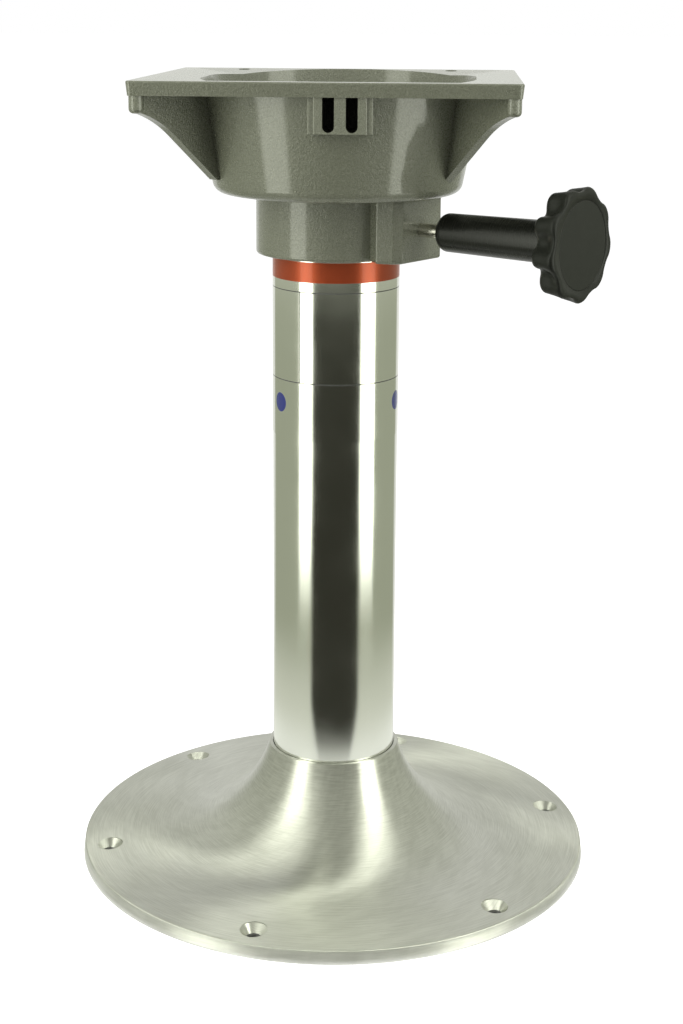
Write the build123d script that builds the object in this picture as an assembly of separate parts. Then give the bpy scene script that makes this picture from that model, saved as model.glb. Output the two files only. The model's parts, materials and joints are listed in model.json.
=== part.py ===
from build123d import *
import math
import os

# Fixed-height boat seat pedestal: a spun aluminium base, a polished post and a
# cast swivel mount for the seat, held against turning by a hand knob.
# Millimetres. +Z is up, the origin is on the floor at the post's axis, and the
# seat plate's sides lie along X and Y.

# Driving sizes of the base
base_diameter = 304.8
base_rim_height = 7.4
base_rim_draft = 1.0
base_rim_round = 0.8
base_wall = 6.0
flange_slope = 4.5
throat_steepness = 75.44
trumpet_start_radius = 103.0
throat_lip = 2.1
throat_gap = 0.35
rim_skirt = 5.2
screw_count = 6
screw_rim_inset = 15.1
screw_first_angle = 15.7
screw_hole_diameter = 8.0
countersink_diameter = 15.6
countersink_angle = 82.0

# Driving sizes of the post
post_diameter = 73.025
post_wall = 3.2
post_foot_z = 4.0
hub_ring_height = 16.0
hub_ring_lip_drop = 26.9

# Driving sizes of the seat mount
mount_bottom_z = 364.4
collar_height = 36.8
collar_radius = 46.1
bush_wall = 2.9
lower_bush_height = 7.0
upper_bush_height = 8.0
bush_recess = 1.0
bowl_end_radius = 69.1
bowl_rim_margin = 4.35
bowl_centre_x = 1.9
bowl_draft = 11.3
bowl_wall = 5.0
bowl_floor = 6.0
bowl_edge_round = 6.5
plate_size = 205.4
plate_thickness = 7.7
plate_corner_round = 3.0
plate_draft = 6.5
mount_height = 100.8
rim_flat = 8.6
dish_slope = 4.0
web_thickness = 5.6
web_bead_radius = 4.0
web_bead_inset = 7.3
web_bead_drop = 9.3
web_bead_round = 2.6
web_bead_step = 0.4
web_turn = 8.6
web_root_depth = 16.1
web_root_stand = 12.0
web_root_rise = 8.9
web_knee_run = 25.9
web_knee_drop = 13.4
web_sag_run = 12.7
web_sag_drop = 4.8
slot_width = 6.2
slot_pitch = 12.2
slot_height = 18.0
slot_centre_x = 8.5
slot_pad_width = 28.0
slot_frame_width = 34.0
slot_pad_back = 1.8
slot_frame_back = 3.0
slot_frame_rise = 0.8
slot_frame_depth = 22.0
slot_cut_depth = 22.0
cast_edge_round = 0.8
collar_edge_round = 1.6
collar_root_round = 3.5
seat_hole_span_x = 127.0
seat_hole_span_y = 177.8
seat_hole_diameter = 7.1

# Driving sizes of the boss and the lock
lock_angle = -34.0
lock_height = 17.6
boss_reach = 60.3
boss_face_half = 18.0
boss_shoulder_reach = 56.7
boss_shoulder_half = 22.3
boss_wing_reach = 48.0
boss_wing_half = 26.0
boss_root_inset = 8.0
boss_root_step = 6.0
boss_corner_round = 1.2
stud_diameter = 8.0
shoe_diameter = 12.0
shoe_length = 7.2
shoe_gap = 0.9
shoe_release = 4.0
sleeve_start = 74.3
sleeve_length = 73.7
sleeve_small_diameter = 21.2
sleeve_large_diameter = 23.2
sleeve_end_round = 5.0
knob_diameter = 62.0
knob_thickness = 15.0
knob_widest = 9.0
knob_back_inset = 3.5
knob_face_land = 2.9
knob_lobes = 9
knob_lobe_diameter = 13.0
knob_first_lobe = 3.0
knob_valley_depth = 5.4
knob_valley_round = 4.2
cap_diameter = 47.6
cap_thickness = 2.6
cap_edge_round = 0.5
insert_across_flats = 13.0
insert_length = 12.0

# Driving sizes of the swivel's inner pieces
thrust_thickness = 3.0
friction_thickness = 2.0
friction_diameter = 66.0
retainer_thickness = 3.2
retainer_diameter = 58.0
spacer_diameter = 19.0
spacer_hole = 12.4
bolt_diameter = 12.0
bolt_head_across_flats = 19.0
bolt_head_height = 7.5
bolt_crown_flare = 4.2
bolt_crown_inset = 0.6
bolt_tip_reach = 4.0
spring_washer_thickness = 2.6
spring_washer_diameter = 21.0
spring_washer_split = 1.2
spring_washer_slant = 20.0
plug_height = 22.0
turned_chamfer = 0.8

# Driving sizes of the label film
label_top_z = 362.8
label_height = 103.3
label_thickness = 0.15
label_wrap = 340.0

# Clearances
running_fit = 0.06
fixed_fit = 0.02
bush_running_fit = 0.08
washer_clearance = 0.30

# Sizes that follow from the driving ones
post_radius = post_diameter / 2
post_bore = post_radius - post_wall
base_radius = base_diameter / 2
screw_circle_radius = base_radius - screw_rim_inset
throat_inner = post_radius + throat_gap
throat_outer = throat_inner + throat_lip
trumpet_rise = math.sin(math.radians(throat_steepness)) - math.sin(math.radians(flange_slope))
trumpet_radius = (trumpet_start_radius - throat_outer) / trumpet_rise
mount_top_z = mount_bottom_z + mount_height
plate_under_z = mount_top_z - plate_thickness
bowl_under_z = mount_bottom_z + collar_height
bowl_top_radius = bowl_end_radius + (plate_under_z - bowl_under_z) * math.tan(math.radians(bowl_draft))
bowl_end_offset = plate_size / 2 - bowl_rim_margin - bowl_top_radius
bowl_floor_z = bowl_under_z + bowl_floor
collar_bore = post_radius + bush_running_fit + bush_wall
post_top_z = bowl_under_z - thrust_thickness
lock_z = mount_bottom_z + lock_height
shoe_bore = shoe_diameter / 2 + running_fit
stud_bore = stud_diameter / 2 + running_fit
shoe_back = post_radius + shoe_gap + shoe_length
stud_end = sleeve_start + sleeve_length + knob_thickness - cap_thickness - 2 * fixed_fit
knob_back = sleeve_start + sleeve_length
knob_face = knob_back + knob_thickness


def ring(outer, inner, bottom, height):
    """A plain ring about the post's axis."""
    body = Cylinder(outer, height, align=(Align.CENTER, Align.CENTER, Align.MIN))
    hole = Cylinder(inner, height, align=(Align.CENTER, Align.CENTER, Align.MIN))
    return Pos(0, 0, bottom) * (body - hole)


def disc(radius, bottom, height):
    """A plain disc about the post's axis."""
    return Pos(0, 0, bottom) * Cylinder(radius, height, align=(Align.CENTER, Align.CENTER, Align.MIN))


def along_lock(shape):
    """Lay a shape that was made about Z, from the post outwards, along the lock's axis."""
    return Pos(0, 0, lock_z) * (Rot(0, 0, lock_angle) * (Rot(0, 90, 0) * shape))


def flange_top(radius):
    """Height of the base's conical upper face at a radius outside the trumpet."""
    top_edge = base_radius - base_rim_draft
    return base_rim_height + (top_edge - radius) * math.tan(math.radians(flange_slope))


def trumpet_centre():
    """Centre of the arc that turns the flange up into the throat."""
    slope = math.radians(flange_slope)
    x = trumpet_start_radius + trumpet_radius * math.sin(slope)
    z = flange_top(trumpet_start_radius) + trumpet_radius * math.cos(slope)
    return x, z


def trumpet_height(radius, arc_radius):
    """Height on an arc about the trumpet's centre, at a radius from the post's axis."""
    x, z = trumpet_centre()
    return z - math.sqrt(arc_radius ** 2 - (x - radius) ** 2)


def trumpet_middle(arc_radius, start, end):
    """A point halfway along the trumpet's arc between two radii from the post's axis."""
    x, z = trumpet_centre()
    first = math.atan2(trumpet_height(start, arc_radius) - z, start - x)
    last = math.atan2(trumpet_height(end, arc_radius) - z, end - x)
    angle = (first + last) / 2
    return x + arc_radius * math.cos(angle), z + arc_radius * math.sin(angle)


def base_flange():
    """The spun base: flat rim, shallow cone and a trumpet that rises round the post."""
    inner_arc = trumpet_radius + base_wall
    lip_z = trumpet_height(throat_outer, trumpet_radius)
    inner_start = trumpet_centre()[0] - inner_arc * math.sin(math.radians(flange_slope))
    inner_start_z = trumpet_height(inner_start, inner_arc)
    skirt = base_radius - rim_skirt
    skirt_z = inner_start_z - (skirt - inner_start) * math.tan(math.radians(flange_slope))
    top_edge = base_radius - base_rim_draft
    throat_bend = trumpet_middle(inner_arc, throat_inner, inner_start)
    trumpet_bend = trumpet_middle(trumpet_radius, trumpet_start_radius, throat_outer)
    outline = [
        Line((base_radius, 0), (top_edge, base_rim_height)),
        Line((top_edge, base_rim_height), (trumpet_start_radius, flange_top(trumpet_start_radius))),
        ThreePointArc(
            (trumpet_start_radius, flange_top(trumpet_start_radius)), trumpet_bend, (throat_outer, lip_z)
        ),
        Line((throat_outer, lip_z), (throat_inner, lip_z)),
        Line((throat_inner, lip_z), (throat_inner, trumpet_height(throat_inner, inner_arc))),
        ThreePointArc(
            (throat_inner, trumpet_height(throat_inner, inner_arc)), throat_bend, (inner_start, inner_start_z)
        ),
        Line((inner_start, inner_start_z), (skirt, skirt_z)),
        Line((skirt, skirt_z), (skirt, 0)),
        Line((skirt, 0), (base_radius, 0)),
    ]
    section = Plane.XZ * make_face(outline)
    shell = revolve(section, Axis.Z)
    rim_edges = shell.edges().filter_by(GeomType.CIRCLE).filter_by_position(
        Axis.Z, base_rim_height - 0.01, base_rim_height + 0.01
    )
    shell = fillet(rim_edges, base_rim_round)
    half_angle = math.radians(countersink_angle / 2)
    sink_radius = countersink_diameter / 2
    sink_depth = (sink_radius - screw_hole_diameter / 2) / math.tan(half_angle)
    top_z = flange_top(screw_circle_radius)
    sink = Cone(
        screw_hole_diameter / 2, sink_radius, sink_depth, align=(Align.CENTER, Align.CENTER, Align.MAX)
    )
    over = Cylinder(sink_radius, base_wall, align=(Align.CENTER, Align.CENTER, Align.MIN))
    drill = Cylinder(screw_hole_diameter / 2, 4 * base_wall)
    tool = sink + over + drill
    for index in range(screw_count):
        angle = screw_first_angle + index * 360 / screw_count
        shell -= Rot(0, 0, angle) * (Pos(screw_circle_radius, 0, top_z) * tool)
    return shell


def hub_ring():
    """The ring that centres the post inside the trumpet and takes its weight."""
    seat_arc = trumpet_radius + base_wall + fixed_fit
    inner = post_radius + fixed_fit
    top_z = trumpet_height(throat_outer, trumpet_radius) - hub_ring_lip_drop
    foot_z = top_z - hub_ring_height
    centre_x, centre_z = trumpet_centre()

    def arc_radius_at(z):
        return centre_x - math.sqrt(seat_arc ** 2 - (centre_z - z) ** 2)

    middle_z = (top_z + foot_z) / 2
    outline = [
        Line((inner, foot_z), (arc_radius_at(foot_z), foot_z)),
        ThreePointArc(
            (arc_radius_at(foot_z), foot_z),
            (arc_radius_at(middle_z), middle_z),
            (arc_radius_at(top_z), top_z),
        ),
        Line((arc_radius_at(top_z), top_z), (inner, top_z)),
        Line((inner, top_z), (inner, foot_z)),
    ]
    return revolve(Plane.XZ * make_face(outline), Axis.Z)


def post_tube():
    """The polished tube, from just above the floor to under the thrust washer."""
    return ring(post_radius, post_bore, post_foot_z, post_top_z - post_foot_z)


def post_top_plug():
    """The plug in the tube's head, bored for the pivot bolt."""
    body = disc(post_bore - fixed_fit, post_top_z - plug_height, plug_height)
    body = chamfer(body.edges().group_by(Axis.Z)[0], turned_chamfer)
    return body - disc(bolt_diameter / 2 + running_fit, post_top_z - plug_height, plug_height)


def racetrack(end_radius):
    """The bowl's plan: two half circles joined by straight sides along Y."""
    length = 2 * (end_radius + bowl_end_offset)
    return Pos(bowl_centre_x, 0) * (Rot(0, 0, 90) * SlotOverall(length, 2 * end_radius))


def bowl_radius_at(z):
    """Radius of the bowl's round ends on the outside, at a height."""
    return bowl_end_radius + (z - bowl_under_z) * math.tan(math.radians(bowl_draft))


def bowl_outside():
    """The bowl's outer body, from its underside up into the plate."""
    height = plate_under_z - bowl_under_z + plate_thickness / 2
    body = extrude(racetrack(bowl_end_radius), height, taper=-bowl_draft)
    body = fillet(body.edges().group_by(Axis.Z)[0], bowl_edge_round)
    return Pos(0, 0, bowl_under_z) * body


def bowl_inside():
    """The space inside the bowl, up through the plate."""
    floor_radius = bowl_radius_at(bowl_floor_z) - bowl_wall
    height = mount_top_z - bowl_floor_z
    body = extrude(racetrack(floor_radius), height, taper=-bowl_draft)
    body = fillet(body.edges().group_by(Axis.Z)[0], bowl_edge_round - bowl_wall / 2)
    return Pos(0, 0, bowl_floor_z) * body


def seat_plate():
    """The square plate, narrower at its underside by its draft."""
    sketch = RectangleRounded(plate_size, plate_size, plate_corner_round)
    body = extrude(sketch, -plate_thickness, taper=plate_draft)
    body = fillet(body.edges().group_by(Axis.Z)[-1], cast_edge_round)
    return Pos(0, 0, mount_top_z) * body


def plate_dish():
    """The shallow four-sided dish in the plate's top, flat pads left at the corners."""
    outer = plate_size - 2 * rim_flat
    depth = plate_thickness / 2
    inner = outer - 2 * depth / math.tan(math.radians(dish_slope))
    low = Pos(0, 0, mount_top_z - depth) * Rectangle(inner, inner)
    high = Pos(0, 0, mount_top_z) * Rectangle(outer, outer)
    return loft([low.face(), high.face()])


def web(turn):
    """One web under the plate, from a corner in to the bowl, with a round bead at its outer end."""
    diagonal = plate_size / math.sqrt(2)
    bead_r = diagonal - web_bead_inset
    bead_bottom = plate_under_z - web_bead_drop
    top_z = plate_under_z + plate_thickness / 2
    root = (bowl_end_radius + web_root_stand, bowl_under_z + web_root_rise)
    foot = (bead_r, bead_bottom + web_bead_step)
    knee = (bead_r - web_knee_run, foot[1] - web_knee_drop)
    sag = (bead_r - web_sag_run, foot[1] - web_sag_drop)
    inner = root[0] - web_root_depth
    outline = [
        Line(root, knee),
        ThreePointArc(knee, sag, foot),
        Line(foot, (bead_r, top_z)),
        Line((bead_r, top_z), (inner, top_z)),
        Line((inner, top_z), (inner, root[1])),
        Line((inner, root[1]), root),
    ]
    plate = extrude(Plane.XZ * make_face(outline), web_thickness / 2, both=True)
    bead = Cylinder(web_bead_radius, top_z - bead_bottom, align=(Align.CENTER, Align.CENTER, Align.MIN))
    bead = fillet(bead.edges().group_by(Axis.Z)[0], web_bead_round)
    plate = Pos(bead_r, 0, 0) * (Rot(0, 0, turn) * (Pos(-bead_r, 0, 0) * plate))
    return plate + Pos(bead_r, 0, bead_bottom) * bead


def collar_and_boss():
    """The collar round the post with the boss that carries the lock's screw."""
    half_outline = [
        (collar_radius - boss_root_inset, boss_wing_half - boss_root_step),
        (boss_wing_reach, boss_wing_half),
        (boss_shoulder_reach, boss_shoulder_half),
        (boss_reach, boss_face_half),
    ]
    mirrored = [(x, -y) for x, y in reversed(half_outline)]
    boss = make_face(Polyline(half_outline + mirrored, close=True))
    corners = boss.vertices().sort_by(Axis.X)[2:]
    boss = fillet(corners, boss_corner_round)
    height = bowl_under_z + bowl_edge_round - mount_bottom_z
    sketch = Circle(collar_radius) + Rot(0, 0, lock_angle) * boss
    body = extrude(sketch, height)
    body = fillet(body.edges().group_by(Axis.Z)[0], collar_edge_round)
    return Pos(0, 0, mount_bottom_z) * body


def slot_frame():
    """The block under the plate's front edge that holds the two slots, closed at its back."""
    front = -plate_size / 2
    bottom = plate_under_z - slot_height - slot_frame_rise
    height = plate_under_z - bottom + plate_thickness / 4
    depth = slot_frame_depth
    frame = Box(slot_frame_width, depth, height, align=(Align.CENTER, Align.MIN, Align.MIN))
    frame = fillet(frame.edges().filter_by(Axis.Z).group_by(Axis.Y)[0], cast_edge_round)
    pad = Box(slot_pad_width, depth, height, align=(Align.CENTER, Align.MIN, Align.MIN))
    pad = fillet(pad.edges().filter_by(Axis.Z).group_by(Axis.Y)[0], cast_edge_round)
    frame = Pos(slot_centre_x, front + slot_frame_back, bottom) * frame
    pad = Pos(slot_centre_x, front + slot_pad_back, bottom) * pad
    return frame + pad


def slot_cutters():
    """The two deep slots with round bottoms, from the front into their block."""
    cutters = []
    for side in (-1, 1):
        x = slot_centre_x + side * slot_pitch / 2
        top = plate_under_z
        round_z = top - slot_height + slot_width / 2
        block = Box(slot_width, slot_cut_depth, top - round_z, align=(Align.CENTER, Align.MIN, Align.MIN))
        end = Rot(90, 0, 0) * Cylinder(
            slot_width / 2, slot_cut_depth, align=(Align.CENTER, Align.CENTER, Align.MAX)
        )
        cutters.append(Pos(x, -plate_size / 2, round_z) * (block + end))
    return cutters


def seat_mount():
    """The cast mount: plate, bowl, four webs, collar and boss in one piece."""
    body = bowl_outside() + collar_and_boss()
    flat_reach = bowl_end_radius - bowl_edge_round
    roots = []
    for edge in body.edges().filter_by_position(Axis.Z, bowl_under_z - 0.01, bowl_under_z + 0.01):
        middle = edge.center()
        if math.hypot(middle.X - bowl_centre_x, middle.Y) < flat_reach:
            roots.append(edge)
    body = fillet(roots, collar_root_round)
    body += seat_plate()
    for index in range(4):
        turn = web_turn if index % 2 == 0 else -web_turn
        body += Rot(0, 0, 45 + 90 * index) * web(turn)
    body -= bowl_inside()
    body += slot_frame()
    body -= plate_dish()
    for cutter in slot_cutters():
        body -= cutter
    body -= disc(collar_bore, mount_bottom_z, collar_height)
    body -= disc(spacer_diameter / 2 + running_fit, bowl_under_z, bowl_floor)
    hole = Cylinder(seat_hole_diameter / 2, 4 * plate_thickness)
    for x in (-1, 1):
        for y in (-1, 1):
            body -= Pos(x * seat_hole_span_x / 2, y * seat_hole_span_y / 2, mount_top_z) * hole
    shoe_depth = shoe_back + shoe_release + washer_clearance
    body -= along_lock(Cylinder(shoe_bore, shoe_depth, align=(Align.CENTER, Align.CENTER, Align.MIN)))
    body -= along_lock(Cylinder(stud_bore, sleeve_start, align=(Align.CENTER, Align.CENTER, Align.MIN)))
    return body


def bushing(bottom, height):
    """A nylon bush pressed in the collar, running on the post."""
    return ring(collar_bore - fixed_fit, post_radius + bush_running_fit, bottom, height)


def thrust_washer():
    """The nylon washer between the post's head and the mount's floor."""
    return ring(
        collar_bore - washer_clearance, spacer_diameter / 2 + running_fit, post_top_z, thrust_thickness
    )


def pivot_spacer():
    """The steel sleeve that the mount's floor turns about."""
    height = thrust_thickness + bowl_floor + friction_thickness
    return ring(spacer_diameter / 2, spacer_hole / 2, post_top_z, height)


def friction_washer():
    """The nylon washer on the mount's floor, under the retainer."""
    return ring(
        friction_diameter / 2, spacer_diameter / 2 + running_fit, bowl_floor_z, friction_thickness
    )


def retainer_washer():
    """The heavy steel washer that keeps the mount from lifting off."""
    bottom = bowl_floor_z + friction_thickness
    body = ring(retainer_diameter / 2, spacer_hole / 2, bottom, retainer_thickness)
    return chamfer(body.edges().group_by(Axis.Z)[-1].sort_by(SortBy.RADIUS)[-1], turned_chamfer)


def spring_washer():
    """The split spring washer under the bolt's head."""
    bottom = bowl_floor_z + friction_thickness + retainer_thickness
    body = ring(spring_washer_diameter / 2, spacer_hole / 2, bottom, spring_washer_thickness)
    gap = Pos(spring_washer_diameter / 2, 0, bottom) * (
        Rot(spring_washer_slant, 0, 0)
        * Box(spring_washer_diameter, spring_washer_split, 6 * spring_washer_thickness)
    )
    return body - gap


def pivot_bolt():
    """The hexagon bolt down through the mount's floor into the post's plug."""
    seat = bowl_floor_z + friction_thickness + retainer_thickness + spring_washer_thickness
    head_sketch = RegularPolygon(bolt_head_across_flats / 2, 6, major_radius=False)
    head = extrude(head_sketch, bolt_head_height)
    crown = Cone(
        bolt_head_across_flats / 2 + bolt_crown_flare,
        bolt_head_across_flats / 2 - bolt_crown_inset,
        bolt_head_height,
        align=(Align.CENTER, Align.CENTER, Align.MIN),
    )
    head = Pos(0, 0, seat) * (head & crown)
    shank_bottom = post_top_z - plug_height - bolt_tip_reach
    shank = disc(bolt_diameter / 2, shank_bottom, seat - shank_bottom)
    shank = chamfer(shank.edges().group_by(Axis.Z)[0], turned_chamfer)
    return head + shank


def label_film():
    """The thin printed film wrapped round the post, with a narrow seam at the back."""
    inner = post_radius + running_fit
    film = ring(inner + label_thickness, inner, label_top_z - label_height, label_height)
    gap_angle = 360 - label_wrap
    reach = 2 * post_radius
    wedge_half = reach * math.tan(math.radians(gap_angle / 2))
    wedge = make_face(Polyline([(0, 0), (wedge_half, reach), (-wedge_half, reach)], close=True))
    return film - Pos(0, 0, label_top_z - label_height) * extrude(wedge, label_height)


def brake_shoe():
    """The shoe that the stud presses on the post, hollowed to the post's round."""
    start = post_radius + shoe_gap
    length = shoe_back - post_bore
    pin = Cylinder(shoe_diameter / 2, length, align=(Align.CENTER, Align.CENTER, Align.MIN))
    body = along_lock(Pos(0, 0, post_bore) * pin)
    return body - disc(start, lock_z - shoe_diameter, 2 * shoe_diameter)


def lock_stud():
    """The steel stud from the shoe to the knob, drawn with a smooth thread."""
    length = stud_end - shoe_back
    rod = Cylinder(stud_diameter / 2, length, align=(Align.CENTER, Align.CENTER, Align.MIN))
    rod = chamfer(rod.edges().group_by(Axis.Z)[0], turned_chamfer)
    return along_lock(Pos(0, 0, shoe_back) * rod)


def knob_sleeve():
    """The long tapered sleeve between the boss and the knob, with a rounded nose."""
    small = sleeve_small_diameter / 2
    large = sleeve_large_diameter / 2
    body = Cone(small, large, sleeve_length, align=(Align.CENTER, Align.CENTER, Align.MIN))
    body = fillet(body.edges().group_by(Axis.Z)[0], sleeve_end_round)
    body -= Cylinder(
        stud_diameter / 2 + fixed_fit, sleeve_length, align=(Align.CENTER, Align.CENTER, Align.MIN)
    )
    return along_lock(Pos(0, 0, sleeve_start) * body)


def knob_outline():
    """The knob's plan: a disc with round lobes about its edge and soft valleys between."""
    lobe = knob_lobe_diameter / 2
    reach = knob_diameter / 2 - lobe
    sketch = Circle(knob_diameter / 2 - knob_valley_depth)
    for index in range(knob_lobes):
        sketch += Rot(0, 0, knob_first_lobe + index * 360 / knob_lobes) * (Pos(reach, 0) * Circle(lobe))
    return fillet(sketch.vertices(), knob_valley_round)


def knob_envelope():
    """The turned form that rounds the lobes: widest near the middle, in to the face and back."""
    widest = (knob_diameter / 2, knob_widest)
    face = (cap_diameter / 2 + knob_face_land, knob_thickness)
    back = (knob_diameter / 2 - knob_back_inset, 0)
    outline = [
        Line((0, 0), back),
        TangentArc(widest, back, tangent=(0, -1)),
        TangentArc(widest, face, tangent=(0, 1)),
        Line(face, (0, knob_thickness)),
        Line((0, knob_thickness), (0, 0)),
    ]
    return revolve(Plane.XZ * make_face(outline), Axis.Z)


def knob_body():
    """The lobed knob with a recess for its cap and a seat for the insert."""
    body = extrude(knob_outline(), knob_thickness) & knob_envelope()
    recess = Cylinder(
        cap_diameter / 2 + fixed_fit, cap_thickness, align=(Align.CENTER, Align.CENTER, Align.MAX)
    )
    body -= Pos(0, 0, knob_thickness) * recess
    seat = extrude(
        RegularPolygon(insert_across_flats / 2 + fixed_fit, 6, major_radius=False), insert_length
    )
    body -= seat
    body -= Cylinder(
        stud_diameter / 2 + fixed_fit, knob_thickness, align=(Align.CENTER, Align.CENTER, Align.MIN)
    )
    return along_lock(Pos(0, 0, knob_back) * body)


def knob_insert():
    """The hexagonal brass insert that fixes the stud in the knob."""
    body = extrude(RegularPolygon(insert_across_flats / 2, 6, major_radius=False), insert_length)
    body -= Cylinder(
        stud_diameter / 2 + fixed_fit, insert_length, align=(Align.CENTER, Align.CENTER, Align.MIN)
    )
    return along_lock(Pos(0, 0, knob_back) * body)


def knob_cap():
    """The plain round cap let into the knob's face."""
    body = Cylinder(cap_diameter / 2, cap_thickness, align=(Align.CENTER, Align.CENTER, Align.MAX))
    body = fillet(body.edges().group_by(Axis.Z)[-1], cap_edge_round)
    return along_lock(Pos(0, 0, knob_face) * body)


pieces = {
    "base_flange": base_flange(),
    "hub_ring": hub_ring(),
    "post_tube": post_tube(),
    "post_top_plug": post_top_plug(),
    "pivot_spacer": pivot_spacer(),
    "pivot_bolt": pivot_bolt(),
    "spring_washer": spring_washer(),
    "retainer_washer": retainer_washer(),
    "label_film": label_film(),
    "thrust_washer": thrust_washer(),
    "friction_washer": friction_washer(),
    "seat_mount": seat_mount(),
    "lower_bushing": bushing(mount_bottom_z + bush_recess, lower_bush_height),
    "upper_bushing": bushing(post_top_z - washer_clearance - upper_bush_height, upper_bush_height),
    "brake_shoe": brake_shoe(),
    "lock_stud": lock_stud(),
    "knob_sleeve": knob_sleeve(),
    "knob_body": knob_body(),
    "knob_insert": knob_insert(),
    "knob_cap": knob_cap(),
}

os.makedirs("parts", exist_ok=True)
for name, solid in pieces.items():
    export_step(solid, f"parts/{name}.step")
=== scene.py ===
"""Boat seat pedestal: the finishes, the print on the post, the moulded knob and the studio."""

import json
import math

import bmesh
import bpy
from mathutils import Matrix, Vector


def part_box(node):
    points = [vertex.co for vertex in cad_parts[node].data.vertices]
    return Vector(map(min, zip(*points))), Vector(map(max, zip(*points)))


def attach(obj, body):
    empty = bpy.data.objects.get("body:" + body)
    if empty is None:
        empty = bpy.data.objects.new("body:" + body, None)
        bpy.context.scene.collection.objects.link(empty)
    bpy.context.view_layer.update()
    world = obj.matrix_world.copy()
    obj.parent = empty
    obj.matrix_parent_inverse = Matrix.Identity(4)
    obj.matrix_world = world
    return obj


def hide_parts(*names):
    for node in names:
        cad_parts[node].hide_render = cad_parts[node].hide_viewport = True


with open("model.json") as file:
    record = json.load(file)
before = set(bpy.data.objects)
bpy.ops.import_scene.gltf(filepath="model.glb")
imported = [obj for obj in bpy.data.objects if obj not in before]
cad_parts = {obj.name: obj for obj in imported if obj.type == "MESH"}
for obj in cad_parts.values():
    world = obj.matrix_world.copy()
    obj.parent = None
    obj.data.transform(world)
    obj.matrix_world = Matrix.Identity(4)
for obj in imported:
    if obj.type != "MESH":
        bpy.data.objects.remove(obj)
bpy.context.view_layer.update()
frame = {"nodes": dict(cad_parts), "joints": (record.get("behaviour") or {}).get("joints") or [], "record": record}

# Read from the frame, in metres: two radii round the post, and how the lock's axis lies
base_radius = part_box("base_flange")[1].x
print_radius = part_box("label_film")[1].y
lock_joint = next(joint for joint in frame["joints"] if joint["name"] == "lock_knob_turn")
lock_axis = Vector(lock_joint["axis"]).normalized()
lock_height = lock_joint["pos_m"][2]

# The camera, fitted to the photograph, with its angles in degrees
camera_place = Vector((0.0723, -1.0336, 0.5043))
camera_turn, camera_pitch, camera_roll = 4.0, -11.944, 0.334
camera_lens = 63.5
camera_shift = (0.0059, -0.1228)

# Where the front is, as an angle round the post
front_angle = math.radians(camera_turn - 90)

# Colours, linear
paint_olive = (0.112, 0.119, 0.080, 1)
# Painted shade: near-black colour for the inside of the two slots, standing in for their shadow
painted_slot_shade = (0.011, 0.011, 0.007, 1)
aluminium_bright = (0.90, 0.91, 0.87, 1)
aluminium_brushed = (0.57, 0.575, 0.53, 1)
aluminium_scratch = (0.72, 0.725, 0.68, 1)
steel_bright = (0.84, 0.82, 0.76, 1)
zinc_grey = (0.55, 0.56, 0.55, 1)
brass_yellow = (0.62, 0.43, 0.16, 1)
nylon_white = (0.78, 0.76, 0.68, 1)
fibre_brown = (0.16, 0.08, 0.04, 1)
moulded_black = (0.009, 0.010, 0.0075, 1)
turned_black = (0.005, 0.0055, 0.004, 1)
print_orange = (0.36, 0.060, 0.018, 1)
print_grey = (0.060, 0.062, 0.052, 1)
print_blue = (0.035, 0.045, 0.21, 1)
pure_white = (1, 1, 1, 1)

# Sockets of the Mix node when it mixes colours
MIX_A, MIX_B, MIX_RESULT = 6, 7, 2

# Between these two values lies most of a noise
NOISE_LOW, NOISE_HIGH = 0.3, 0.7


class Value:
    """A shader socket that takes part in arithmetic: each operator adds its Math node."""

    def __init__(self, finish, socket):
        self.finish = finish
        self.socket = socket

    def join(self, operation, first, second):
        return self.finish.node("ShaderNodeMath", {"operation": operation}, {0: first, 1: second})

    def __add__(self, other):
        return self.join("ADD", self, other)

    def __sub__(self, other):
        return self.join("SUBTRACT", self, other)

    def __rsub__(self, other):
        return self.join("SUBTRACT", other, self)

    def __mul__(self, other):
        return self.join("MULTIPLY", self, other)

    def __truediv__(self, other):
        return self.join("DIVIDE", self, other)

    def __pow__(self, other):
        return self.join("POWER", self, other)


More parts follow.
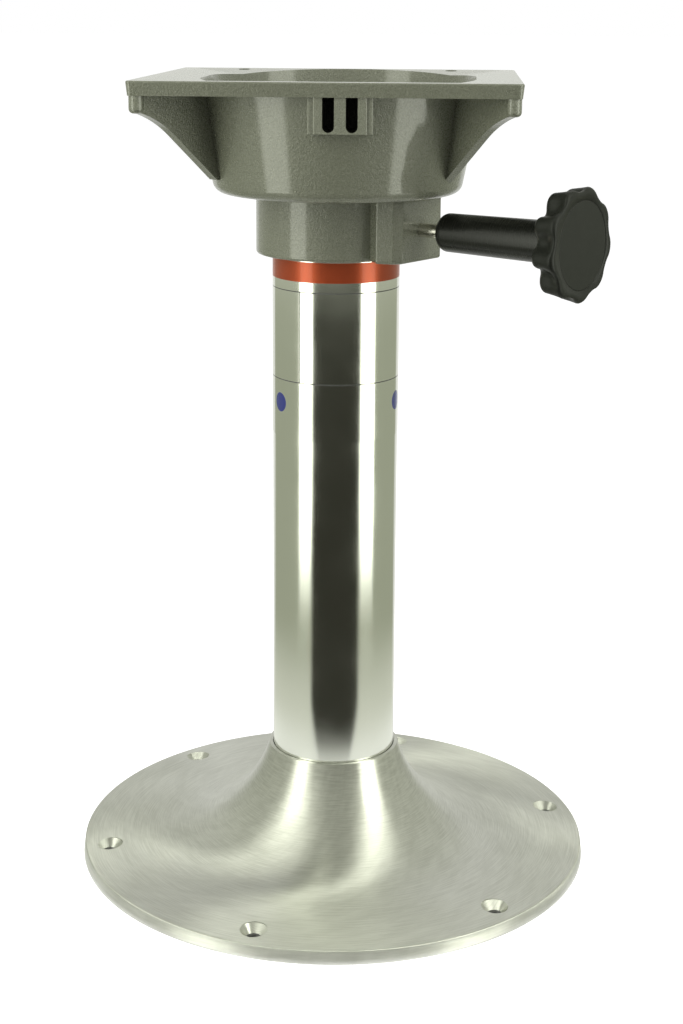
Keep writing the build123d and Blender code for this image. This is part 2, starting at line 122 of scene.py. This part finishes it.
class Finish:
    """One material: nodes are added by type, with their settings first, then values and links."""

    def __init__(self, name, shader="ShaderNodeBsdfPrincipled"):
        self.material = bpy.data.materials.new(name)
        self.material.use_nodes = True
        self.tree = self.material.node_tree
        self.tree.nodes.clear()
        self.shader = self.tree.nodes.new(shader)
        self.output = self.tree.nodes.new("ShaderNodeOutputMaterial")
        self.tree.links.new(self.shader.outputs[0], self.output.inputs["Surface"])

    def feed(self, socket, value):
        if isinstance(value, Value):
            self.tree.links.new(value.socket, socket)
        else:
            socket.default_value = value

    def node(self, kind, settings=None, values=None, output=0):
        made = self.tree.nodes.new(kind)
        for name, setting in (settings or {}).items():
            setattr(made, name, setting)
        for name, value in (values or {}).items():
            self.feed(made.inputs[name], value)
        return Value(self, made.outputs[output])

    def set(self, **values):
        """Values or links for the shader's own sockets, with underscores for spaces."""
        for name, value in values.items():
            self.feed(self.shader.inputs[name.replace("_", " ")], value)

    def place(self):
        return self.node("ShaderNodeTexCoord", output="Object")

    def axes(self, vector):
        split = self.tree.nodes.new("ShaderNodeSeparateXYZ")
        self.feed(split.inputs[0], vector)
        return [Value(self, socket) for socket in split.outputs]

    def vector(self, x, y, z):
        return self.node("ShaderNodeCombineXYZ", {}, {0: x, 1: y, 2: z})

    def noise(self, vector, scale=1.0, detail=2.0, roughness=0.5):
        values = {"Vector": vector, "Scale": scale, "Detail": detail, "Roughness": roughness}
        return self.node("ShaderNodeTexNoise", {}, values)

    def cells(self, vector, scale, smoothness):
        settings = {"feature": "SMOOTH_F1"}
        values = {"Vector": vector, "Scale": scale, "Smoothness": smoothness}
        return self.node("ShaderNodeTexVoronoi", settings, values)

    def fade(self, value, low, high, to_low=0.0, to_high=1.0):
        """A soft step: to_low under low, to_high over high."""
        settings = {"interpolation_type": "SMOOTHSTEP"}
        values = {
            "Value": value,
            "From Min": low,
            "From Max": high,
            "To Min": to_low,
            "To Max": to_high,
        }
        return self.node("ShaderNodeMapRange", settings, values)

    def spread(self, noise, least, most):
        """A noise drawn out to run from least to most."""
        return self.fade(noise, NOISE_LOW, NOISE_HIGH, least, most)

    def band(self, value, low, high, edge):
        """One between low and high, nought outside, with soft edges."""
        rise = self.fade(value, low - edge, low + edge)
        return rise * self.fade(value, high - edge, high + edge, 1.0, 0.0)

    def mix(self, mask, first, second):
        values = {0: mask, MIX_A: first, MIX_B: second}
        return self.node("ShaderNodeMix", {"data_type": "RGBA"}, values, MIX_RESULT)

    def blend(self, mask, first, second):
        return self.node("ShaderNodeMixShader", {}, {0: mask, 1: first, 2: second})

    def bump(self, height, distance, strength):
        values = {"Height": height, "Distance": distance, "Strength": strength}
        return self.node("ShaderNodeBump", {}, values)

    def maximum(self, first, second):
        return self.node("ShaderNodeMath", {"operation": "MAXIMUM"}, {0: first, 1: second})

    def absolute(self, value):
        return self.node("ShaderNodeMath", {"operation": "ABSOLUTE"}, {0: value})

    def polar(self, vector):
        """Distance from the post's axis, the angle round it from the front, and the height."""
        x, y, z = self.axes(vector)
        radius = (x * x + y * y) ** 0.5
        turned_x = x * math.cos(-front_angle) - y * math.sin(-front_angle)
        turned_y = x * math.sin(-front_angle) + y * math.cos(-front_angle)
        values = {0: turned_y, 1: turned_x}
        angle = self.node("ShaderNodeMath", {"operation": "ARCTAN2"}, values)
        return radius, angle, z


# Where the two slots run into the mount, in metres: the box that gets painted shade
slot_span = (-0.0008, 0.0178)
slot_rise = (0.4390, 0.4580)
slot_mouth = (-0.0995, -0.0960)
slot_end = (-0.0787, -0.0781)
slot_edge = 0.0004


def hammered_paint():
    """Grey-olive hammered coat, glossy on top, with painted shade inside the two slots: near-black, matte and
    without coat.
    """
    finish = Finish("hammered_paint")
    place = finish.place()
    dimples = finish.cells(place, scale=520, smoothness=0.7)
    peel = finish.noise(place, scale=1150, detail=3, roughness=0.65)
    x, y, z = finish.axes(place)
    # Painted shade: inside the two slots the colour goes near-black, rougher and uncoated, where their depth lies
    # in shadow
    painted_shade_mask = finish.band(x, *slot_span, slot_edge) * finish.band(z, *slot_rise, slot_edge)
    painted_shade_mask = painted_shade_mask * finish.fade(y, *slot_mouth) * finish.fade(y, *slot_end, 1.0, 0.0)
    finish.set(
        Base_Color=finish.mix(painted_shade_mask, paint_olive, painted_slot_shade),
        Roughness=finish.spread(peel, 0.24, 0.34) + painted_shade_mask * 0.5,
        Specular_IOR_Level=0.7,
        Normal=finish.bump(dimples * 0.4 + peel, distance=0.00055, strength=0.75),
        Coat_Weight=(1.0 - painted_shade_mask) * 0.8,
        Coat_IOR=1.55,
        Coat_Roughness=0.10,
    )
    return finish.material


# How fine the lines and rings of the metal and the sleeve are, to a radian or a metre: first
# across them and then along them
drawing_across, drawing_along = 260, 9
scratch_across, scratch_along = 2400, 4
arc_across, arc_along = 9, 90
lathe_across = 1500


def polished_aluminium():
    """The drawn and polished tube: near mirror, with faint lengthwise drawing lines."""
    finish = Finish("polished_aluminium")
    place = finish.place()
    radius, angle, z = finish.polar(place)
    lines = finish.noise(finish.vector(angle * drawing_across, z * drawing_along, 0.0), detail=3)
    cloud = finish.noise(place, scale=26, detail=3)
    finish.set(
        Base_Color=aluminium_bright,
        Metallic=1.0,
        Roughness=finish.fade(cloud + lines * 0.4, 0.45, 0.95, 0.10, 0.17),
        Normal=finish.bump(lines, distance=0.00002, strength=0.25),
    )
    return finish.material


# How the base is brushed: at these distances from the post's axis, in metres, the scratches
# slant so far from its round, in degrees, and the visible arcs twist in radians a metre
brush_slants = (
    (0.046, 8.0), (0.072, 13.0), (0.081, 19.0), (0.087, 26.0), (0.093, 33.0),
    (0.099, 40.0), (0.107, 47.0), (0.118, 54.0), (0.134, 60.0),
)
swirl_pitch = 14.0

# So far inside the base's edge its turned rim starts and is whole, in metres
rim_start, rim_whole = 0.0012, 0.0006

# Gloss is drawn out along the tangent, which runs round the post; a quarter turn makes the
# scratches run there
along_scratch = 0.25


def brushed_aluminium():
    """The spun base: scratches that leave the post along its round and slant more outwards."""
    finish = Finish("brushed_aluminium", "ShaderNodeMixShader")
    place = finish.place()
    radius, angle, z = finish.polar(place)
    swirl = angle + radius * swirl_pitch
    scratch_place = finish.vector(radius * scratch_across, swirl * scratch_along, 0.0)
    arc_place = finish.vector(swirl * arc_across, radius * arc_along, 0.0)
    fine = finish.noise(scratch_place, detail=4, roughness=0.6)
    broad = finish.noise(arc_place, detail=3, roughness=0.6)
    patches = finish.noise(place, scale=22, detail=3)
    scratches = fine * 0.7 + broad * 0.3
    shade = finish.fade(scratches, 0.35, 0.65)
    look = {
        "Base Color": finish.mix(shade, aluminium_brushed, aluminium_scratch),
        "Metallic": 1.0,
        "Roughness": finish.fade(patches + scratches * 0.5, 0.5, 1.0, 0.35, 0.43),
        "Normal": finish.bump(scratches, distance=0.00005, strength=0.5),
        "Anisotropic": 0.96,
    }

    def brushed(slant):
        turned = {"Anisotropic Rotation": along_scratch + slant / 360}
        return finish.node("ShaderNodeBsdfPrincipled", {}, {**look, **turned})

    face = brushed(brush_slants[0][1])
    for (near, _), (far, slant) in zip(brush_slants, brush_slants[1:]):
        face = finish.blend(finish.fade(radius, near, far), face, brushed(slant))
    rim = finish.fade(radius, base_radius - rim_start, base_radius - rim_whole)
    for socket, value in zip(finish.shader.inputs, (rim, face, brushed(0.0))):
        finish.feed(socket, value)
    return finish.material


def turned_metal(name, colour, roughness=0.34, spread=0.10):
    """Plain turned or plated metal with a fine grain."""
    finish = Finish(name)
    grain = finish.noise(finish.place(), scale=900, detail=3)
    finish.set(
        Base_Color=colour,
        Metallic=1.0,
        Roughness=finish.spread(grain, roughness - spread / 2, roughness + spread / 2),
        Normal=finish.bump(grain, distance=0.00004, strength=0.3),
    )
    return finish.material


def plain_plastic(name, colour, roughness, grain_scale=1300, grain_depth=0.00005, gloss=0.5):
    """Moulded plastic with a fine skin."""
    finish = Finish(name)
    place = finish.place()
    grain = finish.noise(place, scale=grain_scale, detail=3)
    cloud = finish.noise(place, scale=60, detail=3)
    finish.set(
        Base_Color=colour,
        Roughness=finish.spread(cloud, roughness - 0.05, roughness + 0.05),
        Specular_IOR_Level=gloss,
        Normal=finish.bump(grain, distance=grain_depth, strength=0.35),
    )
    return finish.material


def turned_plastic():
    """The black sleeve: glossy, with fine rings from the lathe along the lock's axis."""
    finish = Finish("black_gloss")
    x, y, z = finish.axes(finish.place())
    along = x * lock_axis.x + y * lock_axis.y
    ring_place = finish.vector(along * lathe_across, 0.0, 0.0)
    rings = finish.noise(ring_place, detail=3, roughness=0.7)
    finish.set(
        Base_Color=turned_black,
        Roughness=finish.spread(rings, 0.20, 0.30),
        Specular_IOR_Level=0.34,
        Normal=finish.bump(rings, distance=0.00003, strength=0.3),
    )
    return finish.material


# The print on the film: heights in metres above the floor, places along the post's round
# from the front, in metres
orange_low = 0.3513
rule_high, rule_low = 0.3456, 0.2933
divider_place = -0.0214
rule_half = 0.00028
disc_places = ((-0.0375, 0.2797), (0.0452, 0.2798))
disc_radius = 0.0056
print_edge = 0.0001


def label_print():
    """The clear film: bare metal shows through, with plain fields and rules printed on it."""
    finish = Finish("label_film")
    place = finish.place()
    radius, angle, z = finish.polar(place)
    along = angle * print_radius
    orange = finish.fade(z, orange_low - print_edge, orange_low + print_edge)
    ink = finish.band(along, divider_place - rule_half, divider_place + rule_half, print_edge)
    ink = ink * finish.band(z, rule_low, rule_high, print_edge)
    for height in (rule_high, rule_low):
        rule = finish.band(z, height - rule_half, height + rule_half, print_edge)
        ink = finish.maximum(ink, rule)
    discs = 0.0
    for across, height in disc_places:
        reach = ((along - across) ** 2.0 + (z - height) ** 2.0) ** 0.5
        disc = finish.fade(reach, disc_radius - print_edge, disc_radius + print_edge, 1.0, 0.0)
        discs = finish.maximum(discs, disc)
    colour = finish.mix(orange, aluminium_bright, print_orange)
    colour = finish.mix(discs, colour, print_blue)
    colour = finish.mix(ink, colour, print_grey)
    cloud = finish.noise(place, scale=30)
    finish.set(
        Base_Color=colour,
        Metallic=1.0 - finish.maximum(ink, discs) * 0.65 - orange * 0.35,
        Roughness=finish.spread(cloud, 0.11, 0.16) + orange * 0.20,
        Coat_Weight=0.25,
        Coat_Roughness=0.06,
    )
    return finish.material


finishes = {
    "hammered_paint": hammered_paint(),
    "polished_aluminium": polished_aluminium(),
    "brushed_aluminium": brushed_aluminium(),
    "plain_aluminium": turned_metal("plain_aluminium", aluminium_brushed),
    "zinc_steel": turned_metal("zinc_steel", zinc_grey, roughness=0.30),
    "bright_steel": turned_metal("bright_steel", steel_bright, roughness=0.16, spread=0.06),
    "brass": turned_metal("brass", brass_yellow, roughness=0.28),
    "white_nylon": plain_plastic("white_nylon", nylon_white, roughness=0.5),
    "brown_phenolic": plain_plastic("brown_phenolic", fibre_brown, roughness=0.55),
    "black_matte": plain_plastic("black_matte", moulded_black, 0.42, 2600, 0.00008, 0.24),
    "black_gloss": turned_plastic(),
    "label_film": label_print(),
}
for part in frame["record"]["subparts"]:
    mesh = frame["nodes"][part["node"]].data
    mesh.materials.clear()
    mesh.materials.append(finishes[part["material_slot"]])


# The knob, in metres: where its back lies along the lock's axis and how deep it is
knob_back, knob_depth = 0.148, 0.015

# Its lobes: how many, where the first is, how far out their middles lie, and their rounds
# and those of the valleys between
lobe_count, first_lobe = 9, math.radians(3)
lobe_reach, lobe_round, valley_round = 0.0245, 0.0065, 0.0075

# How deep the flutes are at the back and at the face, as shares of the valleys drawn above,
# and how far from the face they begin to run out
back_scallop, face_scallop, flute_end = 1.35, 0.42, 0.0064

# The rounds of its two edges, its draft, the cap's seat and the stud's bore
back_round, face_round, knob_draft = 0.0044, 0.0024, 0.0014
cap_round, cap_depth = 0.02382, 0.0026
bore_round = 0.00402
round_steps, lobe_steps = 6, 26


def knob_edge(angle):
    """Distance of the knob's edge from its axis: lobe arcs joined by valley arcs."""
    half = math.pi / lobe_count
    across = abs((angle + half) % (2 * half) - half)
    together = lobe_round + valley_round
    middle = lobe_reach * math.cos(half)
    valley_reach = middle + math.sqrt(middle**2 - lobe_reach**2 + together**2)
    tangent_x = lobe_reach * valley_round + valley_reach * math.cos(half) * lobe_round
    tangent_y = valley_reach * math.sin(half) * lobe_round
    if across < math.atan2(tangent_y, tangent_x):
        aside = lobe_reach * math.sin(across)
        return lobe_reach * math.cos(across) + math.sqrt(lobe_round**2 - aside**2)
    away = half - across
    aside = valley_reach * math.sin(away)
    return valley_reach * math.cos(away) - math.sqrt(valley_round**2 - aside**2)


def fluted_edge(angle, height):
    """The edge at a height: full flutes at the back that run out towards the face."""
    tip = lobe_reach + lobe_round
    run = min(1.0, max(0.0, (height - (knob_depth - flute_end)) / flute_end))
    share = back_scallop - (back_scallop - face_scallop) * run
    return tip - (tip - knob_edge(angle)) * share


def knob_rings():
    """The knob's rings from the back to the cap's seat and through the bore: each has its
    height, and how far the fluted edge is drawn in there or else its own plain radius."""
    bends = [math.pi / 2 * step / round_steps for step in range(round_steps + 1)]
    side = knob_depth - face_round - back_round
    rings = [(0.0, None, bore_round)]
    for bend in bends:
        drawn_in = back_round * (1 - math.sin(bend)) + knob_draft
        rings.append((back_round * (1 - math.cos(bend)), drawn_in, None))
    for step in range(1, round_steps):
        share = step / round_steps
        rings.append((back_round + side * share, knob_draft * (1 - share), None))
    for bend in bends:
        drawn_in = face_round * (1 - math.cos(bend))
        rings.append((knob_depth - face_round * (1 - math.sin(bend)), drawn_in, None))
    rings.append((knob_depth, None, cap_round))
    rings.append((knob_depth - cap_depth, None, cap_round))
    rings.append((knob_depth - cap_depth, None, bore_round))
    rings.append((0.0, None, bore_round))
    return rings


def lobed_knob():
    """The moulded knob, fluted at its back and rounded at its edges, round the cap and insert."""
    shape = bmesh.new()
    count = lobe_count * lobe_steps
    loops = []
    for height, drawn_in, plain in knob_rings():
        circle = bmesh.ops.create_circle(shape, segments=count, radius=1.0)
        for corner in circle["verts"]:
            angle = math.atan2(corner.co.y, corner.co.x)
            reach = plain
            if drawn_in is not None:
                reach = fluted_edge(angle - first_lobe, height) - drawn_in
            corner.co = (reach * math.cos(angle), reach * math.sin(angle), height)
        loops.append(shape.edges[:][-count:])
    for low, high in zip(loops, loops[1:]):
        bmesh.ops.bridge_loops(shape, edges=low + high)
    bmesh.ops.remove_doubles(shape, verts=shape.verts, dist=1e-6)
    bmesh.ops.recalc_face_normals(shape, faces=shape.faces)
    mesh = bpy.data.meshes.new("lobed_knob")
    shape.to_mesh(mesh)
    shape.free()
    mesh.shade_smooth()
    knob = bpy.data.objects.new("lobed_knob", mesh)
    bpy.context.scene.collection.objects.link(knob)
    turn = math.atan2(lock_axis.y, lock_axis.x)
    lie = Matrix.Rotation(turn, 4, "Z") @ Matrix.Rotation(math.pi / 2, 4, "Y")
    lie = Matrix.Translation((0, 0, lock_height)) @ lie @ Matrix.Translation((0, 0, knob_back))
    mesh.transform(lie)
    mesh.materials.append(finishes["black_matte"])
    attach(knob, "knob")
    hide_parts("knob_body")


lobed_knob()

# The studio's floor, in metres; its glow starts and is whole so far inside the base's edge
floor_reach, floor_sides = 30, 96
floor_grey = (0.50, 0.50, 0.50, 1)
floor_glow = 0.80
glow_start, glow_whole = 0.006, 0.002

# The even light, and what is seen by camera, gloss and clear pieces
sky_even, sky_seen = 0.45, 1.0
seen_paths = ("Is Camera Ray", "Is Glossy Ray", "Is Transmission Ray")

# The sheet of cards round the object, in metres, and how many sides it has
card_inner, card_outer, card_top, card_lift = 0.1535, 1.25, 2.2, 0.0010
card_sides = 96

# Distances from the post's axis over which the cards' levels change, and heights for the
# last, in metres
rim_fade = (0.17, 0.27)
near_fade = (0.24, 0.46)
dark_fade = (0.16, 0.24)
box_fade = (0.42, 0.95)
rise_fade = (0.10, 0.32)

# Between the first two, as distances, the dark card widens from this share to its whole span
taper_fade = (0.10, 0.30, 0.35, 1.0)

# How much of the dark card is gone above the rise
dark_loss = 0.86

# Angles round the post from the front, in degrees, and how soft their edges are
dark_span, dark_edge = (-41.0, 44.0), 4.0
left_box_span, right_box_span, box_edge = (-67.0, -43.0), (47.0, 74.0), 2.5
back_span, back_edge = 146.0, 4.0

# The cards' levels, linear
studio_dark = (0.030, 0.030, 0.022, 1)
studio_side = (0.33, 0.35, 0.26, 1)
studio_rim = (0.86, 0.88, 0.80, 1)
studio_near = (0.60, 0.62, 0.52, 1)
studio_high = (0.64, 0.66, 0.56, 1)
studio_back = (0.80, 0.81, 0.76, 1)
box_glow = (3.7, 3.8, 3.3, 1)

# What the lamps are aimed at
lamp_aim = Vector((0, 0, 0.25))


def studio_floor():
    """The pale floor. Straight to the camera and in gloss it is white, and it keeps the shadow."""
    mesh = bpy.data.meshes.new("studio_floor")
    shape = bmesh.new()
    bmesh.ops.create_circle(shape, cap_ends=True, segments=floor_sides, radius=floor_reach)
    shape.to_mesh(mesh)
    shape.free()
    floor = bpy.data.objects.new("studio_floor", mesh)
    bpy.context.scene.collection.objects.link(floor)
    finish = Finish("studio_floor", "ShaderNodeAddShader")
    seen = 0.0
    for path in seen_paths:
        seen = finish.maximum(seen, finish.node("ShaderNodeLightPath", output=path))
    radius, angle, z = finish.polar(finish.place())
    seen = seen * finish.fade(radius, base_radius - glow_start, base_radius - glow_whole)
    glow = {"Color": pure_white, "Strength": seen * floor_glow}
    ground = finish.node("ShaderNodeBsdfDiffuse", {}, {"Color": floor_grey})
    finish.feed(finish.shader.inputs[0], ground)
    finish.feed(finish.shader.inputs[1], finish.node("ShaderNodeEmission", {}, glow))
    mesh.materials.append(finish.material)


def studio_cards():
    """The cards and soft boxes round the object that its metal reflects, as one turned sheet."""
    mesh = bpy.data.meshes.new("studio_cards")
    shape = bmesh.new()
    rim = [(card_inner, card_lift), (card_outer, card_lift)]
    rim += [(card_outer, card_top), (card_inner, card_top)]
    corners = [shape.verts.new((reach, 0, height)) for reach, height in rim]
    edges = [shape.edges.new(pair) for pair in zip(corners, corners[1:])]
    whole = {"cent": (0, 0, 0), "axis": (0, 0, 1), "angle": 2 * math.pi, "use_merge": True}
    bmesh.ops.spin(shape, geom=corners + edges, steps=card_sides, **whole)
    shape.to_mesh(mesh)
    shape.free()
    cards = bpy.data.objects.new("studio_cards", mesh)
    bpy.context.scene.collection.objects.link(cards)
    finish = Finish("studio_cards", "ShaderNodeEmission")
    radius, angle, z = finish.polar(finish.place())
    turn = angle * math.degrees(1.0)
    high = finish.fade(z, *rise_fade)
    level = finish.mix(finish.fade(radius, *rim_fade), studio_rim, studio_near)
    level = finish.mix(finish.fade(radius, *near_fade), level, studio_side)
    level = finish.mix(high, level, studio_high)
    narrowed = turn / finish.fade(radius, *taper_fade)
    dark = finish.band(narrowed, *dark_span, dark_edge) * finish.fade(radius, *dark_fade)
    level = finish.mix(dark * (1.0 - high * dark_loss), level, studio_dark)
    left = finish.band(turn, *left_box_span, box_edge)
    right = finish.band(turn, *right_box_span, box_edge)
    lit = finish.maximum(left, right) * finish.fade(radius, *box_fade)
    level = finish.mix(lit, level, box_glow)
    aside = finish.absolute(turn)
    behind = finish.fade(aside, back_span - back_edge, back_span + back_edge)
    finish.set(Color=finish.mix(behind, level, studio_back), Strength=1.0)
    mesh.materials.append(finish.material)
    cards.visible_camera = False
    cards.visible_diffuse = False
    cards.visible_shadow = False


def soft_box(name, turn, reach, height, width, tall, watts):
    """A soft box at an angle from the front, aimed at the middle of the object."""
    data = bpy.data.lights.new(name, "AREA")
    data.shape = "RECTANGLE"
    data.size = width
    data.size_y = tall
    data.energy = watts
    lamp = bpy.data.objects.new(name, data)
    angle = front_angle + math.radians(turn)
    lamp.location = (reach * math.cos(angle), reach * math.sin(angle), height)
    lamp.rotation_euler = (lamp_aim - lamp.location).to_track_quat("-Z", "Y").to_euler()
    bpy.context.scene.collection.objects.link(lamp)
    lamp.visible_glossy = False


def studio_world():
    """Even light from all round, white straight to the camera and in gloss."""
    world = bpy.data.worlds.new("studio_world")
    world.use_nodes = True
    tree = world.node_tree
    sky = tree.nodes["Background"]
    sky.inputs["Color"].default_value = pure_white
    path = tree.nodes.new("ShaderNodeLightPath")
    sides = [path.outputs[name] for name in seen_paths]
    seen = sides[0]
    for side in sides[1:]:
        both = tree.nodes.new("ShaderNodeMath")
        both.operation = "MAXIMUM"
        tree.links.new(seen, both.inputs[0])
        tree.links.new(side, both.inputs[1])
        seen = both.outputs[0]
    level = tree.nodes.new("ShaderNodeMapRange")
    level.inputs["To Min"].default_value = sky_even
    level.inputs["To Max"].default_value = sky_seen
    tree.links.new(seen, level.inputs["Value"])
    tree.links.new(level.outputs[0], sky.inputs["Strength"])
    bpy.context.scene.world = world


def studio_camera():
    """The camera at the photograph's viewing angle."""
    data = bpy.data.cameras.new("studio_camera")
    data.lens = camera_lens
    data.shift_x, data.shift_y = camera_shift
    camera = bpy.data.objects.new("studio_camera", data)
    turn = Matrix.Rotation(math.radians(camera_turn), 4, "Z")
    pitch = Matrix.Rotation(math.radians(90 + camera_pitch), 4, "X")
    roll = Matrix.Rotation(math.radians(camera_roll), 4, "Z")
    camera.matrix_world = Matrix.Translation(camera_place) @ turn @ pitch @ roll
    bpy.context.scene.collection.objects.link(camera)
    bpy.context.scene.camera = camera


studio_floor()
studio_cards()
soft_box("left_soft_box", turn=-57, reach=1.15, height=0.75, width=0.60, tall=1.3, watts=16)
soft_box("right_soft_box", turn=63, reach=1.15, height=0.75, width=0.66, tall=1.3, watts=12)
soft_box("top_soft_box", turn=170, reach=0.5, height=1.7, width=1.2, tall=1.2, watts=12)
studio_world()
studio_camera()
bpy.context.scene.view_settings.view_transform = "Standard"
